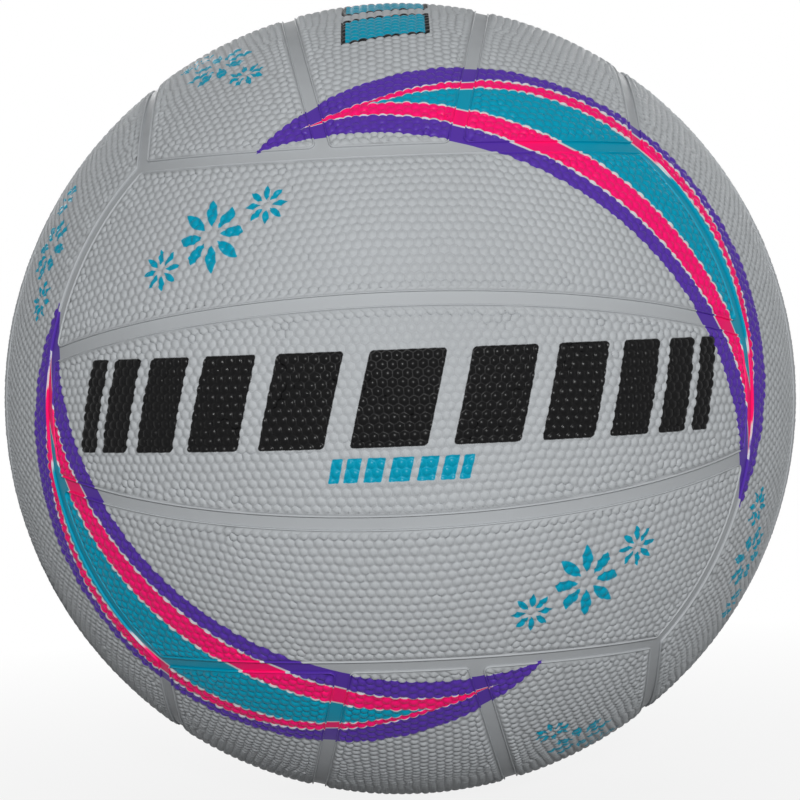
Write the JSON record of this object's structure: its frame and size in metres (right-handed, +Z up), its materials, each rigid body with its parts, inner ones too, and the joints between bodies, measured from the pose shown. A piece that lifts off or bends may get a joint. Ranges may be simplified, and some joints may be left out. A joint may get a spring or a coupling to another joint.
{
  "type": "netball",
  "caption": "Round rubber playing ball with a pimpled panelled cover, sunk seam channels, a wound carcass, an inner bladder and a needle valve.",
  "frame": {"origin": "centre of the ball", "axes": "+Z up as pictured, -Y out of the pictured face, +X to that face's right, +Y out through the valve"},
  "size_m": [0.2228, 0.2227, 0.2228],
  "materials": {
    "cover_rubber": "satin",
    "channel_rubber": "satin",
    "nylon_thread": "matte",
    "bladder_rubber": "matte",
    "valve_rubber": "satin",
    "plug_rubber": "matte"
  },
  "bodies": {
    "root": {"panel_front_middle": "cover_rubber", "panel_front_upper": "cover_rubber", "panel_front_lower": "cover_rubber", "panel_back_middle": "cover_rubber", "panel_back_upper": "cover_rubber", "panel_back_lower": "cover_rubber", "panel_top_middle": "cover_rubber", "panel_top_right": "cover_rubber", "panel_top_left": "cover_rubber", "panel_bottom_middle": "cover_rubber", "panel_bottom_right": "cover_rubber", "panel_bottom_left": "cover_rubber", "panel_left_middle": "cover_rubber", "panel_left_front": "cover_rubber", "panel_left_back": "cover_rubber", "panel_right_middle": "cover_rubber", "panel_right_front": "cover_rubber", "panel_right_back": "cover_rubber", "carcass": "channel_rubber", "winding": "nylon_thread", "bladder": "bladder_rubber", "valve_housing": "valve_rubber", "valve_insert": "plug_rubber"}
  },
  "joints": []
}
